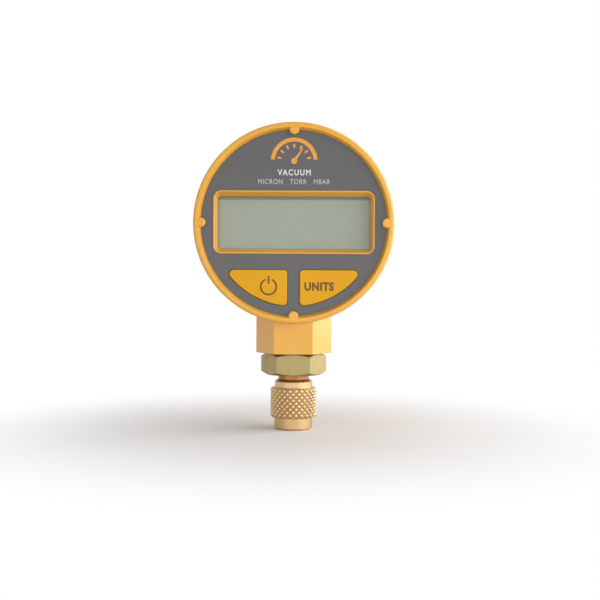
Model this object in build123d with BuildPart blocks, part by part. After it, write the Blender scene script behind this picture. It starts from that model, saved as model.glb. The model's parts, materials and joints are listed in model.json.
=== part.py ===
from build123d import *
import math
import os

os.makedirs("parts", exist_ok=True)

# A digital vacuum gauge, in millimetres. X is to the right, Y goes from the face into the
# case, and Z is up. The origin is the centre of the swivel nut's open end.

# Swivel nut, with the 7/16-20 thread of a quarter inch flare
thread_wall_r = 4.95
thread_depth = 8.6
mouth_chamfer = 0.4
relief_depth = 0.75
lower_collar_r = 7.5
lower_collar_length = 4.7
upper_collar_r = 7.4
upper_collar_length = 2.9
collar_chamfer = 0.8
knurl_r = 9.0
knurl_length = 11.7
knurl_count = 24
knurl_depth = 0.5
knurl_chamfer = 0.6

# Brass stem
spigot_r = 4.33
bore_r = 2.5
stem_neck_r = 6.0
stem_neck_length = 1.8
hex_across = 22.2
hex_height = 8.5
hex_end_share = 0.95
hex_end_angle = 30.0
shank_r = 7.0
shank_over_nut = 1.2
chamber_r = 4.75
chamber_depth = 14.0
groove_wire_r = 0.5

# Nut and washer that hold the stem in the neck
locknut_across = 19.0
locknut_height = 3.5
washer_margin = 0.1
washer_thickness = 0.8
washer_split = 1.2

# Sealing ring and core depressor at the stem's open end
gasket_thickness = 2.0
gasket_bore_r = 2.25
depressor_wall = 0.6
depressor_pin_r = 0.8
depressor_spoke = 0.7
depressor_depth = 1.4
depressor_reach = 1.7

# Case
ring_r = 38.1
ring_width = 2.8
ring_depth = 6.0
ring_front = 16.0
crest_round = 1.0
crest_inner_round = 0.4
ring_bevel = 0.75
step_in = 0.9
case_wall = 2.0
case_back = 22.0
front_wall = 2.0
neck_across = 25.6
neck_length = 11.8
lug_r = 1.85
lug_inset = 0.1
lug_edge = 0.4

# Face sheet, in its recess behind the ring's crest
sheet_recess = 1.8
sheet_thickness = 0.4

# Display
rim_to_ring = 3.29
rim_height = 23.8
rim_corner = 3.0
rim_proud = 0.4
rim_depth = 3.6
rim_land = 0.45
rim_side_slope = 1.5
rim_top_slope = 1.9
display_rise = 0.25
opening_corner = 1.25
window_lap = 1.8
window_thickness = 1.2
panel_side_lap = 0.8
panel_top_lap = 1.5
panel_thickness = 2.8
panel_corner = 0.5
holder_wall = 1.3
holder_depth = 5.2
zebra_thickness = 1.6
zebra_margin = 3.0
zebra_edge = 0.8
reflector_thickness = 0.3
reflector_margin = 1.0

# Keys, each a slice of a disc below the display
key_to_ring = 3.8
key_gap = 4.7
key_below_rim = 6.16
key_corner = 1.65
key_inner_corner = 1.25
key_edge = 0.3
key_proud = 0.4
key_travel = 0.5
flange_width = 1.0
flange_thickness = 1.0
pusher_r = 2.0
switch_to_pillar = 1.87
switch_below_key_top = 4.2
switch_size = 6.0
switch_height = 3.5
plunger_r = 1.75
plunger_rise = 0.8
plunger_sunk = 1.1

# Circuit board and what stands on it
board_thickness = 1.6
board_margin = 1.7
notch_margin = 1.0
notch_over_stem = 2.2
chip_size = 10.0
chip_thickness = 1.5
chip_x = -12.0
chip_lead = 0.9
chip_leads = 8
chip_lead_width = 0.4
chip_lead_thickness = 0.3
crystal_length = 11.0
crystal_width = 4.5
crystal_height = 3.3
crystal_to_pillar = 0.87
crystal_to_bay = 2.0
capacitor_r = 2.5
capacitor_height = 6.5
capacitor_spacing = 14.0
capacitor_rise = 20.0
resistor_length = 2.0
resistor_width = 1.25
resistor_thickness = 0.6
resistor_spacing = 3.2
resistor_columns = 2
resistor_rows = 5
resistor_x = 4.0
plug_x = 17.0
plug_width = 6.0
plug_length = 5.0
plug_height = 2.5
plug_end = 1.0

# Cover, its screws and its gasket
cover_thickness = 2.8
cover_edge = 1.2
spigot_depth = 2.6
spigot_wall = 1.6
gasket_rim = 1.4
rim_gasket_thickness = 0.6
pillar_to_wall = 4.7
pillar_r = 3.2
screw_r = 1.4
screw_head_r = 2.8
screw_head_height = 2.0
screw_sink = 2.6
boss_floor = 0.4
cross_width = 0.7
cross_depth = 1.0

# Battery, its bay and its door
battery_length = 48.5
battery_height = 26.5
battery_depth = 17.5
battery_round = 1.5
stud_spacing = 12.7
stud_height = 2.6
small_stud_r = 2.8
large_stud_r = 4.0
snap_thickness = 5.2
snap_margin = 0.6
bay_wall = 1.2
bay_room = 0.3
bay_corner = 2.0
door_thickness = 2.0
door_lap = 1.9
door_corner = 3.0
door_tab_r = 3.4
door_screw_r = 1.1
door_screw_head_r = 2.0
door_screw_head_height = 1.2
door_screw_length = 7.0
door_boss_wall = 1.5
tongue_width = 7.0
tongue_thickness = 0.8
tongue_reach = 1.5
pad_thickness = 0.8
pad_length = 30.0
pad_height = 14.0
lead_r = 0.65
lead_spacing = 2.6
lead_bend = 1.9

# Sensor in the stem's chamber
header_length = 5.0
header_top = 3.0
pin_r = 0.25
pin_spread_r = 2.0
pin_count = 4
pin_below_header = 3.0
bead_r = 0.6
oring_r = 0.48
retainer_length = 2.4
retainer_wall = 1.9
retainer_slot = 1.0
adapter_r = 5.0
adapter_thickness = 0.8
ribbon_width = 5.1
ribbon_thickness = 0.9
ribbon_back = 3.2
ribbon_rise = 6.75
ribbon_bend = 1.5

# Clearances
running_gap = 0.07
groove_gap = 0.1
fit_gap = 0.15
slide_gap = 0.25
open_gap = 0.5
shoulder_gap = 0.2
nut_play = 0.3

# Heights along the stem
spigot_end_z = thread_depth + mouth_chamfer + gasket_thickness
nut_shoulder_z = spigot_end_z + shoulder_gap
knurl_top_z = lower_collar_length + knurl_length
nut_top_z = knurl_top_z + upper_collar_length
wire_z = (nut_shoulder_z + nut_top_z) / 2
neck_base_z = nut_top_z + nut_play
hex_base_z = neck_base_z + stem_neck_length
case_base_z = hex_base_z + hex_height
face_z = case_base_z + neck_length + ring_r

# Depths into the case, all from the ring's crest
sheet_y = -ring_front + sheet_recess
wall_y = sheet_y + sheet_thickness
wall_back_y = wall_y + front_wall
rim_y = sheet_y - rim_proud
rim_back_y = rim_y + rim_depth
window_back_y = rim_back_y + window_thickness
board_y = window_back_y + holder_depth
board_back_y = board_y + board_thickness
key_y = sheet_y - key_proud
flange_y = wall_back_y + groove_gap
flange_back_y = flange_y + flange_thickness
switch_y = board_y - switch_height
plunger_y = switch_y - plunger_rise
boss_y = flange_back_y + key_travel + open_gap
cover_y = case_back - cover_thickness
case_rim_y = cover_y - rim_gasket_thickness
door_y = case_back - door_thickness
battery_back_y = door_y - pad_thickness
battery_y = battery_back_y - battery_depth
bay_y = battery_y - bay_wall

# Round and hexagonal sizes that follow
case_r = ring_r - step_in
case_inner_r = case_r - case_wall
ring_inner_r = ring_r - ring_width
sheet_r = ring_inner_r - fit_gap
lug_circle_r = ring_inner_r - lug_inset
key_arc_r = ring_inner_r - key_to_ring
board_r = case_inner_r - board_margin
pillar_circle_r = case_inner_r - pillar_to_wall
spigot_outer_r = case_inner_r - fit_gap
locknut_corner_r = locknut_across / math.sqrt(3)
washer_r = locknut_across / 2 - washer_margin
boss_top_z = face_z - math.sqrt(case_inner_r ** 2 - (locknut_corner_r + open_gap) ** 2)
washer_top_z = boss_top_z + washer_thickness
locknut_top_z = washer_top_z + locknut_height
shank_top_z = locknut_top_z + shank_over_nut
chamber_z = shank_top_z - chamber_depth
notch_top = shank_top_z + notch_over_stem - face_z
groove_r = groove_wire_r + groove_gap

# The display's rim reaches as near to the ring at its corners as rim_to_ring says
rim_corner_r = ring_inner_r - rim_to_ring - rim_corner
rim_corner_z = rim_height / 2 + display_rise - rim_corner
rim_width = 2 * (math.sqrt(rim_corner_r ** 2 - rim_corner_z ** 2) + rim_corner)
opening_width = rim_width - 2 * rim_side_slope
opening_height = rim_height - 2 * rim_top_slope
panel_width = opening_width + 2 * panel_side_lap
panel_height = opening_height + 2 * panel_top_lap

# The battery lies along X in its bay, with the snap at its right-hand end
bay_length = battery_length + snap_thickness + 3 * bay_room
bay_height = battery_height + 2 * bay_room
battery_left = -bay_length / 2 + bay_room
battery_right = battery_left + battery_length
battery_mid_y = battery_y + battery_depth / 2
snap_left = battery_right + bay_room / 2
snap_mid = snap_left + snap_thickness / 2
door_length = bay_length + 2 * door_lap
door_height = bay_height + 2 * door_lap
door_tab_z = -door_height / 2 - door_tab_r / 3

# Places on the board, from the face's centre
pillar_out = pillar_circle_r / math.sqrt(2)
key_drop = rim_height / 2 - display_rise + key_below_rim
switch_out = pillar_out - pillar_r - switch_to_pillar - switch_size / 2
crystal_x = -pillar_out + pillar_r + crystal_to_pillar + crystal_length / 2
crystal_drop = bay_height / 2 + bay_wall + crystal_to_bay + crystal_width / 2
switch_below = key_drop + switch_below_key_top
adapter_top_z = shank_top_z + adapter_thickness
sensor_plug_z = adapter_top_z + ribbon_rise + plug_length / 2 - face_z
lead_y = board_back_y + plug_height / 2
ribbon_y = board_back_y + plug_height / 2

body_axis = Axis((0, 0, face_z), (0, 1, 0))
body_section = Plane.XY.offset(face_z)


def face_plane(depth):
    """The plane at this depth that looks out of the face, centred on the ring."""
    return Plane(origin=(0, depth, face_z), x_dir=(1, 0, 0), z_dir=(0, -1, 0))


def turned(*points):
    """A closed outline of (radius, height) points beside the stem's axis."""
    with BuildSketch(Plane.XZ) as outline:
        with BuildLine():
            Polyline(*points, close=True)
        make_face()
    return outline.sketch


def hexagon(across, height):
    """A hexagon on the stem's axis, with a flat to the front."""
    with BuildSketch(Plane.XY.offset(height)) as outline:
        RegularPolygon(across / 2, 6, major_radius=False)
    return outline.sketch


def hex_envelope(across, base_z, top_z):
    """The turned shape that takes the corners off both ends of a hexagon."""
    corner_r = across / math.sqrt(3)
    end_r = hex_end_share * across / 2
    drop = (corner_r - end_r) * math.tan(math.radians(hex_end_angle))
    return turned(
        (0, base_z),
        (end_r, base_z),
        (corner_r, base_z + drop),
        (corner_r, top_z - drop),
        (end_r, top_z),
        (0, top_z),
    )


def rounded(width, height, corner, depth, grow=0.0):
    """A round-cornered rectangle about the display's centre, facing out."""
    with BuildSketch(face_plane(depth)) as outline:
        with Locations((0, display_rise)):
            RectangleRounded(width + 2 * grow, height + 2 * grow, corner + grow)
    return outline.sketch


def key_outline(side, depth, grow=0.0):
    """One key's outline: a slice of a disc with three rounded corners."""
    with BuildSketch(face_plane(depth)) as outline:
        Circle(key_arc_r)
        with Locations((side * (key_gap + key_arc_r) / 2, -key_drop - key_arc_r / 2)):
            Rectangle(key_arc_r, key_arc_r, mode=Mode.INTERSECT)
        tip = outline.vertices().sort_by(lambda corner: abs(corner.X))[-1]
        foot = outline.vertices().sort_by(Axis.Y)[0]
        fillet([tip, foot], key_corner)
        inner = outline.vertices().group_by(Axis.Y)[-1].sort_by(lambda corner: abs(corner.X))[0]
        fillet(inner, key_inner_corner)
        if grow:
            offset(amount=grow)
    return outline.sketch


def door_outline(depth, grow=0.0):
    """The battery door's outline, with a round tab for its screw."""
    with BuildSketch(face_plane(depth)) as outline:
        RectangleRounded(door_length + 2 * grow, door_height + 2 * grow, door_corner + grow)
        with Locations((0, door_tab_z)):
            Circle(door_tab_r + grow)
    return outline.sketch


def knurled_slug():
    """A bar of diamond pyramids, each from its crest to four crossings of the grooves."""
    columns = 2 * knurl_count
    half_pitch = math.pi * knurl_r / knurl_count
    rows = 2 * max(1, round(knurl_length / half_pitch / 2))

    def lattice(row, column):
        radius = knurl_r - knurl_depth * ((row + column) % 2)
        angle = 2 * math.pi * column / columns
        height = lower_collar_length + knurl_length * row / rows
        return Vector(radius * math.cos(angle), radius * math.sin(angle), height)

    facets = []
    for row in range(rows):
        for column in range(columns):
            low = lattice(row, column)
            low_next = lattice(row, column + 1)
            high = lattice(row + 1, column)
            high_next = lattice(row + 1, column + 1)
            if (row + column) % 2:
                facets.append((low, low_next, high_next))
                facets.append((low, high_next, high))
            else:
                facets.append((low, low_next, high))
                facets.append((low_next, high_next, high))
    for row in (0, rows):
        facets.append([lattice(row, column) for column in range(columns)])
    faces = [Face(Wire.make_polygon(points, close=True)) for points in facets]
    return Solid(Shell(faces))


# Case front: ring, lugs, display rim, neck and screw bosses in one moulding
bevel_corner = (ring_inner_r + ring_bevel, -ring_front)
with BuildPart() as front_housing:
    with BuildSketch(body_section) as section:
        with BuildLine():
            crest = CenterArc((ring_r - crest_round, crest_round - ring_front), crest_round, 0, -90)
            Polyline(
                crest @ 1,
                bevel_corner,
                (ring_inner_r, sheet_y),
                (ring_inner_r, wall_y),
                (0, wall_y),
                (0, wall_back_y),
                (case_inner_r, wall_back_y),
                (case_inner_r, case_rim_y),
                (case_r, case_rim_y),
                (case_r, ring_depth - ring_front + step_in),
                (ring_r, ring_depth - ring_front),
                crest @ 0,
            )
        make_face()
        fillet(section.vertices().sort_by_distance(bevel_corner)[0], crest_inner_round)
    revolve(axis=body_axis)
    extrude(hexagon(neck_across, case_base_z), amount=boss_top_z - case_base_z)
    extrude(rounded(rim_width, rim_height, rim_corner, rim_back_y), amount=rim_depth)
    frame = rounded(rim_width, rim_height, rim_corner, rim_back_y, window_lap)
    extrude(frame, amount=rim_back_y - wall_back_y)
    with BuildSketch(face_plane(wall_y)):
        with PolarLocations(lug_circle_r, 4):
            Circle(lug_r)
    extrude(amount=wall_y + ring_front - lug_edge)
    with BuildSketch(face_plane(lug_edge - ring_front)):
        with PolarLocations(lug_circle_r, 4):
            Circle(lug_r)
    extrude(amount=lug_edge, taper=45)
    with BuildSketch(face_plane(boss_y)):
        with PolarLocations(pillar_circle_r, 4, start_angle=45):
            Circle(pillar_r)
            with Locations((pillar_r, 0)):
                Rectangle(2 * pillar_r, pillar_r)
    extrude(amount=boss_y - board_y)
    with BuildSketch(face_plane(board_y)):
        with PolarLocations(pillar_circle_r, 4, start_angle=45):
            Circle(screw_r + running_gap)
    extrude(amount=board_y - boss_y - boss_floor, mode=Mode.SUBTRACT)
    loft(
        [
            rounded(rim_width, rim_height, rim_corner, rim_y, -rim_land).face(),
            rounded(opening_width, opening_height, opening_corner, rim_back_y).face(),
        ],
        mode=Mode.SUBTRACT,
    )
    for side in (-1, 1):
        extrude(key_outline(side, wall_back_y, slide_gap), amount=ring_front, mode=Mode.SUBTRACT)
    with Locations((0, 0, boss_top_z)):
        Hole(shank_r + fit_gap, depth=boss_top_z - case_base_z)
front_housing.part.label = "front_housing"
export_step(front_housing.part, "parts/front_housing.step")


# Printed sheet stuck into the ring's recess
with BuildPart() as face_overlay:
    with BuildSketch(face_plane(wall_y)):
        Circle(sheet_r)
        with PolarLocations(lug_circle_r, 4):
            Circle(lug_r + fit_gap, mode=Mode.SUBTRACT)
    extrude(amount=sheet_thickness)
    rim_hole = rounded(rim_width, rim_height, rim_corner, wall_y, fit_gap)
    extrude(rim_hole, amount=sheet_thickness, mode=Mode.SUBTRACT)
    for side in (-1, 1):
        extrude(key_outline(side, wall_y, slide_gap), amount=sheet_thickness, mode=Mode.SUBTRACT)
face_overlay.part.label = "face_overlay"
export_step(face_overlay.part, "parts/face_overlay.step")


# Clear window glued behind the rim
with BuildPart() as display_window:
    outline = rounded(rim_width, rim_height, rim_corner, window_back_y, window_lap - slide_gap)
    extrude(outline, amount=window_thickness)
display_window.part.label = "display_window"
export_step(display_window.part, "parts/display_window.step")


# Liquid crystal panel, in a pocket of the holder
panel_y = window_back_y + fit_gap
panel_back_y = panel_y + panel_thickness
with BuildPart() as lcd_panel:
    extrude(rounded(panel_width, panel_height, panel_corner, panel_back_y), amount=panel_thickness)
lcd_panel.part.label = "lcd_panel"
export_step(lcd_panel.part, "parts/lcd_panel.step")


# Holder that locates the panel, the reflector and the two contact strips on the board
zebra_z = panel_height / 2 - zebra_edge - zebra_thickness / 2
zebra_length = panel_width - 2 * zebra_margin
reflector_height = 2 * zebra_z - zebra_thickness - 2 * reflector_margin
with BuildPart() as lcd_holder:
    block = rounded(panel_width, panel_height, panel_corner, board_y, holder_wall + fit_gap)
    extrude(block, amount=holder_depth)
    pocket = rounded(panel_width, panel_height, panel_corner, panel_back_y, fit_gap)
    extrude(pocket, amount=holder_depth, mode=Mode.SUBTRACT)
    with BuildSketch(face_plane(panel_back_y)):
        with Locations((0, display_rise)):
            Rectangle(zebra_length + 2 * fit_gap, reflector_height + 2 * fit_gap)
    extrude(amount=-reflector_thickness, mode=Mode.SUBTRACT)
    with BuildSketch(face_plane(board_y)):
        with Locations((0, display_rise)):
            with GridLocations(0, 2 * zebra_z, 1, 2):
                Rectangle(zebra_length + 2 * fit_gap, zebra_thickness + 2 * fit_gap)
    extrude(amount=holder_depth, mode=Mode.SUBTRACT)
lcd_holder.part.label = "lcd_holder"
export_step(lcd_holder.part, "parts/lcd_holder.step")


# White sheet behind the panel
with BuildPart() as lcd_reflector:
    with BuildSketch(face_plane(panel_back_y)):
        with Locations((0, display_rise)):
            Rectangle(zebra_length, reflector_height)
    extrude(amount=-reflector_thickness)
lcd_reflector.part.label = "lcd_reflector"
export_step(lcd_reflector.part, "parts/lcd_reflector.step")


# Rubber contact strips between the panel's edge and the board
for place, side in (("upper", 1), ("lower", -1)):
    with BuildPart() as zebra_strip:
        with BuildSketch(face_plane(board_y)):
            with Locations((0, display_rise + side * zebra_z)):
                Rectangle(zebra_length, zebra_thickness)
        extrude(amount=board_y - panel_back_y)
    zebra_strip.part.label = f"zebra_strip_{place}"
    export_step(zebra_strip.part, f"parts/zebra_strip_{place}.step")


# Board, round with a notch over the stem's nut
notch_width = 2 * (locknut_corner_r + notch_margin)
with BuildPart() as circuit_board:
    with BuildSketch(face_plane(board_y)):
        Circle(board_r)
        with Locations((0, notch_top - board_r / 2)):
            Rectangle(notch_width, board_r, mode=Mode.SUBTRACT)
        with PolarLocations(pillar_circle_r, 4, start_angle=45):
            Circle(screw_r + slide_gap, mode=Mode.SUBTRACT)
    extrude(amount=-board_thickness)
circuit_board.part.label = "circuit_board"
export_step(circuit_board.part, "parts/circuit_board.step")


# Microcontroller, with rows of leads on its four sides
lead_pitch = chip_size / (chip_leads + 1)
with BuildPart() as microcontroller:
    with BuildSketch(face_plane(board_back_y)):
        with Locations((chip_x, 0)):
            with GridLocations(0, lead_pitch, 1, chip_leads):
                Rectangle(chip_size + 2 * chip_lead, chip_lead_width)
            with GridLocations(lead_pitch, 0, chip_leads, 1):
                Rectangle(chip_lead_width, chip_size + 2 * chip_lead)
    extrude(amount=-chip_lead_thickness)
    with BuildSketch(face_plane(board_back_y)):
        with Locations((chip_x, 0)):
            Rectangle(chip_size, chip_size)
    extrude(amount=-chip_thickness)
microcontroller.part.label = "microcontroller"
export_step(microcontroller.part, "parts/microcontroller.step")


# Crystal can
with BuildPart() as crystal:
    with BuildSketch(face_plane(board_back_y)):
        with Locations((crystal_x, -crystal_drop)):
            SlotOverall(crystal_length, crystal_width)
    extrude(amount=-crystal_height)
crystal.part.label = "crystal"
export_step(crystal.part, "parts/crystal.step")


# Two upright capacitors
with BuildPart() as capacitors:
    with BuildSketch(face_plane(board_back_y)):
        with Locations((0, capacitor_rise)):
            with GridLocations(capacitor_spacing, 0, 2, 1):
                Circle(capacitor_r)
    extrude(amount=-capacitor_height)
capacitors.part.label = "capacitors"
export_step(capacitors.part, "parts/capacitors.step")


# Block of chip resistors
with BuildPart() as resistors:
    with BuildSketch(face_plane(board_back_y)):
        with Locations((resistor_x, 0)):
            with GridLocations(resistor_spacing, resistor_spacing, resistor_columns, resistor_rows):
                Rectangle(resistor_length, resistor_width)
    extrude(amount=-resistor_thickness)
resistors.part.label = "resistors"
export_step(resistors.part, "parts/resistors.step")


# Plug of the battery leads
with BuildPart() as battery_connector:
    with BuildSketch(face_plane(board_back_y)):
        with Locations((plug_x, 0)):
            Rectangle(plug_length, plug_width)
    extrude(amount=-plug_height)
battery_connector.part.label = "battery_connector"
export_step(battery_connector.part, "parts/battery_connector.step")


# Plug of the sensor's ribbon
with BuildPart() as sensor_connector:
    with BuildSketch(face_plane(board_back_y)):
        with Locations((0, sensor_plug_z)):
            Rectangle(ribbon_width + 2 * plug_end, plug_length)
    extrude(amount=-plug_height)
sensor_connector.part.label = "sensor_connector"
export_step(sensor_connector.part, "parts/sensor_connector.step")


# Keys, each with the push switch under it and the plunger that the key presses
for name, side in (("power", -1), ("units", 1)):
    push_point = (side * switch_out, -switch_below)

    with BuildPart() as key:
        extrude(key_outline(side, flange_y), amount=flange_y - key_y)
        fillet(key.faces().sort_by(Axis.Y)[0].edges(), key_edge)
        extrude(key_outline(side, flange_back_y, flange_width), amount=flange_thickness)
        with BuildSketch(face_plane(plunger_y)):
            with Locations(push_point):
                Circle(pusher_r)
        extrude(amount=plunger_y - flange_back_y)
    key.part.label = f"{name}_key"
    export_step(key.part, f"parts/{name}_key.step")

    with BuildPart() as switch:
        with BuildSketch(face_plane(board_y)):
            with Locations(push_point):
                Rectangle(switch_size, switch_size)
        extrude(amount=switch_height)
        with BuildSketch(face_plane(switch_y)):
            with Locations(push_point):
                Circle(plunger_r + groove_gap)
        extrude(amount=-plunger_sunk - key_travel - groove_gap, mode=Mode.SUBTRACT)
    switch.part.label = f"{name}_switch"
    export_step(switch.part, f"parts/{name}_switch.step")

    with BuildPart() as plunger:
        with BuildSketch(face_plane(plunger_y)):
            with Locations(push_point):
                Circle(plunger_r)
        extrude(amount=-plunger_rise - plunger_sunk)
    plunger.part.label = f"{name}_plunger"
    export_step(plunger.part, f"parts/{name}_plunger.step")


# Rear cover with screw pillars, battery bay and the recess for its door
screw_seat_y = case_back - screw_sink
lead_slot = 2 * lead_r + 2 * open_gap
with BuildPart() as rear_cover:
    with BuildSketch(face_plane(case_back)):
        Circle(case_r)
    extrude(amount=cover_thickness)
    fillet(rear_cover.edges().sort_by(Axis.Y)[-1], cover_edge)
    with BuildSketch(face_plane(cover_y)):
        Circle(spigot_outer_r)
        Circle(spigot_outer_r - spigot_wall, mode=Mode.SUBTRACT)
    extrude(amount=spigot_depth)
    with BuildSketch(face_plane(cover_y)):
        with PolarLocations(pillar_circle_r, 4, start_angle=45):
            Circle(pillar_r)
    extrude(amount=cover_y - board_back_y)
    with BuildSketch(face_plane(cover_y)):
        RectangleRounded(bay_length + 2 * bay_wall, bay_height + 2 * bay_wall, bay_corner + bay_wall)
    extrude(amount=cover_y - bay_y)
    with BuildSketch(face_plane(cover_y)):
        with Locations((0, door_tab_z)):
            Circle(door_screw_r + door_boss_wall)
    extrude(amount=door_screw_length)
    with BuildSketch(face_plane(case_back)):
        RectangleRounded(bay_length, bay_height, bay_corner)
    extrude(amount=case_back - battery_y, mode=Mode.SUBTRACT)
    with BuildSketch(face_plane(battery_y)):
        with Locations((snap_mid, 0)):
            Rectangle(lead_slot, lead_slot + lead_spacing)
    extrude(amount=bay_wall, mode=Mode.SUBTRACT)
    extrude(door_outline(case_back, slide_gap), amount=door_thickness, mode=Mode.SUBTRACT)
    with BuildSketch(face_plane(door_y + tongue_thickness + groove_gap)):
        with Locations((0, door_height / 2)):
            with GridLocations(bay_length / 2, 0, 2, 1):
                Rectangle(tongue_width + 2 * slide_gap, 2 * tongue_reach + 2 * slide_gap)
    extrude(amount=tongue_thickness + groove_gap, mode=Mode.SUBTRACT)
    with BuildSketch(face_plane(case_back)):
        with PolarLocations(pillar_circle_r, 4, start_angle=45):
            Circle(screw_head_r + slide_gap)
    extrude(amount=screw_sink, mode=Mode.SUBTRACT)
    with BuildSketch(face_plane(case_back)):
        with PolarLocations(pillar_circle_r, 4, start_angle=45):
            Circle(screw_r + slide_gap)
    extrude(amount=case_back - board_back_y, mode=Mode.SUBTRACT)
    with BuildSketch(face_plane(door_y)):
        with Locations((0, door_tab_z)):
            Circle(door_screw_r + running_gap)
    extrude(amount=door_screw_length, mode=Mode.SUBTRACT)
rear_cover.part.label = "rear_cover"
export_step(rear_cover.part, "parts/rear_cover.step")


# Flat gasket between the case's rim and the cover
gasket_inner_r = case_inner_r + (case_wall - gasket_rim) / 2
with BuildPart() as rear_gasket:
    with BuildSketch(face_plane(cover_y)):
        Circle(gasket_inner_r + gasket_rim)
        Circle(gasket_inner_r, mode=Mode.SUBTRACT)
    extrude(amount=rim_gasket_thickness)
rear_gasket.part.label = "rear_gasket"
export_step(rear_gasket.part, "parts/rear_gasket.step")


# Four long screws, from the cover through the board into the case's bosses
with BuildPart() as cover_screws:
    with BuildSketch(face_plane(screw_seat_y)):
        with PolarLocations(pillar_circle_r, 4, start_angle=45):
            Circle(screw_head_r)
    extrude(amount=-screw_head_height)
    with BuildSketch(face_plane(screw_seat_y)):
        with PolarLocations(pillar_circle_r, 4, start_angle=45):
            Circle(screw_r)
    extrude(amount=screw_seat_y - boss_y - boss_floor - running_gap)
    with BuildSketch(face_plane(screw_seat_y + screw_head_height)):
        with PolarLocations(pillar_circle_r, 4, start_angle=45):
            Rectangle(1.4 * screw_head_r, cross_width)
            Rectangle(cross_width, 1.4 * screw_head_r)
    extrude(amount=cross_depth, mode=Mode.SUBTRACT)
cover_screws.part.label = "cover_screws"
export_step(cover_screws.part, "parts/cover_screws.step")


def battery_end(across):
    """The plane across the battery at this X, looking to the right."""
    return Plane(origin=(across, battery_mid_y, face_z), x_dir=(0, 1, 0), z_dir=(1, 0, 0))


# Nine volt block battery, with its two studs
with BuildPart() as battery_9v:
    with BuildSketch(battery_end(battery_left)):
        RectangleRounded(battery_depth, battery_height, battery_round)
    extrude(amount=battery_length)
    with BuildSketch(battery_end(battery_right)):
        with Locations((0, stud_spacing / 2)):
            Circle(small_stud_r)
        with Locations((0, -stud_spacing / 2)):
            RegularPolygon(large_stud_r, 6)
    extrude(amount=stud_height)
battery_9v.part.label = "battery_9v"
export_step(battery_9v.part, "parts/battery_9v.step")


# Snap connector on the studs
with BuildPart() as battery_snap:
    with BuildSketch(battery_end(snap_left)):
        snap_depth = battery_depth - 2 * snap_margin
        RectangleRounded(snap_depth, battery_height - 2 * snap_margin, battery_round)
    extrude(amount=snap_thickness)
    with BuildSketch(battery_end(snap_left)):
        with Locations((0, stud_spacing / 2)):
            Circle(small_stud_r + running_gap)
        with Locations((0, -stud_spacing / 2)):
            Circle(large_stud_r + running_gap)
    extrude(amount=stud_height, mode=Mode.SUBTRACT)
battery_snap.part.label = "battery_snap"
export_step(battery_snap.part, "parts/battery_snap.step")


# Leads from the snap, through the bay's floor, to the plug on the board
for colour, side in (("red", 1), ("black", -1)):
    lead_z = face_z + side * lead_spacing / 2
    with BuildPart() as lead:
        with BuildLine() as route:
            FilletPolyline(
                (snap_mid, battery_y + snap_margin, lead_z),
                (snap_mid, lead_y, lead_z),
                (plug_x + plug_length / 2, lead_y, lead_z),
                radius=lead_bend,
            )
        with BuildSketch(Plane(origin=route.wire() @ 0, z_dir=route.wire() % 0)):
            Circle(lead_r)
        sweep()
    lead.part.label = f"battery_lead_{colour}"
    export_step(lead.part, f"parts/battery_lead_{colour}.step")


# Foam pad that holds the battery against the bay's floor
with BuildPart() as battery_pad:
    with BuildSketch(face_plane(door_y)):
        Rectangle(pad_length, pad_height)
    extrude(amount=pad_thickness)
battery_pad.part.label = "battery_pad"
export_step(battery_pad.part, "parts/battery_pad.step")


# Battery door, with two tongues at the top and a screw in its tab
with BuildPart() as battery_door:
    extrude(door_outline(case_back), amount=door_thickness)
    with BuildSketch(face_plane(door_y + tongue_thickness)):
        with Locations((0, door_height / 2)):
            with GridLocations(bay_length / 2, 0, 2, 1):
                Rectangle(tongue_width, 2 * tongue_reach)
    extrude(amount=tongue_thickness)
    with BuildSketch(face_plane(case_back)):
        with Locations((0, door_tab_z)):
            Circle(door_screw_r + slide_gap)
    extrude(amount=door_thickness, mode=Mode.SUBTRACT)
    with BuildSketch(face_plane(case_back)):
        with Locations((0, door_tab_z)):
            Circle(door_screw_head_r + slide_gap)
    extrude(amount=door_screw_head_height, mode=Mode.SUBTRACT)
battery_door.part.label = "battery_door"
export_step(battery_door.part, "parts/battery_door.step")


# Screw of the battery door
with BuildPart() as door_screw:
    with BuildSketch(face_plane(case_back)):
        with Locations((0, door_tab_z)):
            Circle(door_screw_head_r)
    extrude(amount=door_screw_head_height)
    with BuildSketch(face_plane(case_back - door_screw_head_height)):
        with Locations((0, door_tab_z)):
            Circle(door_screw_r)
    extrude(amount=door_screw_length)
    with BuildSketch(face_plane(case_back)):
        with Locations((0, door_tab_z)):
            Rectangle(1.4 * door_screw_head_r, cross_width)
            Rectangle(cross_width, 1.4 * door_screw_head_r)
    extrude(amount=door_screw_head_height / 2, mode=Mode.SUBTRACT)
door_screw.part.label = "door_screw"
export_step(door_screw.part, "parts/door_screw.step")


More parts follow.
